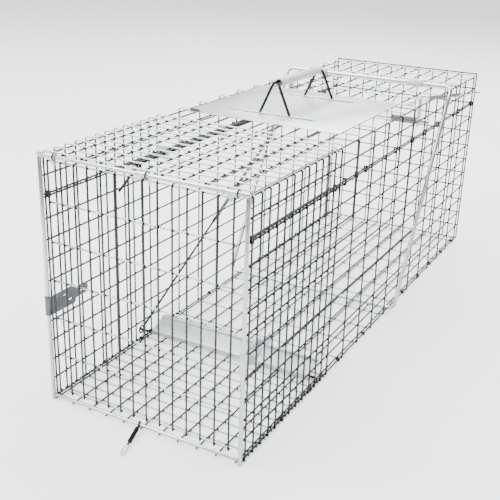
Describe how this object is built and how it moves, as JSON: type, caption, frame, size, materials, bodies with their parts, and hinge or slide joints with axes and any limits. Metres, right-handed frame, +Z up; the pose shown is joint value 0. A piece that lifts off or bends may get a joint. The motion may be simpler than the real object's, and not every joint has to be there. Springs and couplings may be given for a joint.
{
  "type": "live catch trap",
  "caption": "Wire cage live catch trap with an inward-swinging door, one-hand set lever, treadle, trip rod, guard plate and carrying handle.",
  "frame": {"origin": "centre of the cage floor's underside, midway along the wire cage", "axes": "+Z up, +Y from the door to the closed end, +X to the right seen from the door"},
  "size_m": [0.283, 0.8838, 0.3548],
  "materials": {
    "galv_mesh": "galvanised welded wire mesh, satin with light spangle",
    "bright_rod": "bright zinc-plated rod, satin",
    "dark_wire": "dull plated spring wire, satin",
    "sheet": "galvanised sheet, smooth and bright",
    "spring": "dark spring steel, lightly oiled",
    "grip": "off-white plastic tube, matt"
  },
  "bodies": {
    "cage": {"roof_panel": "galv_mesh", "side_panel_left": "galv_mesh", "side_panel_right": "galv_mesh", "upper_strip_left": "galv_mesh", "upper_strip_right": "galv_mesh", "floor_panel": "galv_mesh", "rear_panel": "galv_mesh", "front_post_left": "bright_rod", "front_post_right": "bright_rod", "front_top_rod": "bright_rod", "front_bottom_rod": "bright_rod", "hinge_clip_left": "sheet", "hinge_clip_middle": "sheet", "hinge_clip_right": "sheet", "lock_tab_left": "sheet", "lock_tab_right": "sheet", "rocker_bracket_left": "sheet", "rocker_bracket_right": "sheet", "rocker_spring_left": "spring", "rocker_spring_right": "spring", "rod_guide_front": "sheet", "rod_guide_rear": "sheet", "guard_plate": "sheet", "handle_cross_rod_front": "dark_wire", "handle_cross_rod_rear": "dark_wire", "handle_wire_left": "dark_wire", "handle_wire_right": "dark_wire", "handle_grip": "grip", "lock_spring": "spring", "roof_clip": "sheet", "treadle_spring": "spring", "seam_lacing_upper_left": "dark_wire", "seam_lacing_upper_right": "dark_wire", "seam_lacing_lower_left": "dark_wire", "seam_lacing_lower_right": "dark_wire"},
    "door": {"door_panel": "galv_mesh"},
    "lever": {"lever_arm_left": "bright_rod", "lever_arm_right": "bright_rod", "lever_top_bar": "bright_rod", "lever_pivot_rod": "bright_rod", "lever_sleeve_left": "grip", "lever_sleeve_right": "grip"},
    "treadle": {"treadle": "sheet", "treadle_axle": "dark_wire"},
    "trip_rod": {"trip_wire": "dark_wire", "latch_bar": "spring"},
    "rocker": {"rocker_shaft": "dark_wire"},
    "pull_rod": {"pull_rod": "dark_wire"},
    "door_link": {"door_link": "dark_wire"},
    "lock_rod": {"lock_rod": "bright_rod", "lock_collar": "dark_wire"},
    "front_hook": {"front_hook": "spring", "hook_coil": "spring"}
  },
  "joints": [
    {"name": "lever_swing", "type": "hinge", "parent": "cage", "child": "lever", "pos_m": [0, 0.0385, 0.0078], "axis": [1, 0, 0], "range_deg": [0, 30]},
    {"name": "door_swing", "type": "hinge", "parent": "cage", "child": "door", "pos_m": [0, -0.399, 0.2935], "axis": [1, 0, 0], "range_deg": [0, 75]},
    {"name": "rocker_turn", "type": "hinge", "parent": "cage", "child": "rocker", "pos_m": [0, 0.1645, 0.2634], "axis": [1, 0, 0], "range_deg": [-60, 0]},
    {"name": "pull_rod_slide", "type": "slide", "parent": "cage", "child": "pull_rod", "axis": [0, 1, 0], "range_m": [0, 0.0315]},
    {"name": "door_link_swing", "type": "hinge", "parent": "pull_rod", "child": "door_link", "pos_m": [-0.038, -0.3537, 0.2926], "axis": [1, 0, 0], "range_deg": [-22.63, 0]},
    {"name": "trip_rod_swing", "type": "hinge", "parent": "cage", "child": "trip_rod", "pos_m": [-0.134, -0.2165, 0.0096], "axis": [1, 0, 0], "range_deg": [0, 14.21]},
    {"name": "treadle_tilt", "type": "hinge", "parent": "cage", "child": "treadle", "pos_m": [0, -0.2075, 0.0086], "axis": [1, 0, 0], "range_deg": [-12, 0], "stiffness_Nm_per_rad": 0.3, "springref_deg": 17.19},
    {"name": "lock_rod_slide", "type": "slide", "parent": "cage", "child": "lock_rod", "axis": [0, 0.9918, -0.1276], "range_m": [0, 0.012], "stiffness_N_per_m": 250, "springref_m": -0.012},
    {"name": "front_hook_swing", "type": "hinge", "parent": "cage", "child": "front_hook", "pos_m": [-0.003, -0.404, 0.0065], "axis": [1, 0, 0], "range_deg": [-80, 0]}
  ],
  "couplings": [
    {"joint": "door_swing", "follows": "lever_swing", "ratio": 2.5},
    {"joint": "rocker_turn", "follows": "lever_swing", "ratio": -2},
    {"joint": "pull_rod_slide", "follows": "lever_swing", "m_per_rad": 0.05973},
    {"joint": "door_link_swing", "follows": "lever_swing", "ratio": -0.75091},
    {"joint": "trip_rod_swing", "follows": "lever_swing", "ratio": 0.47044}
  ]
}
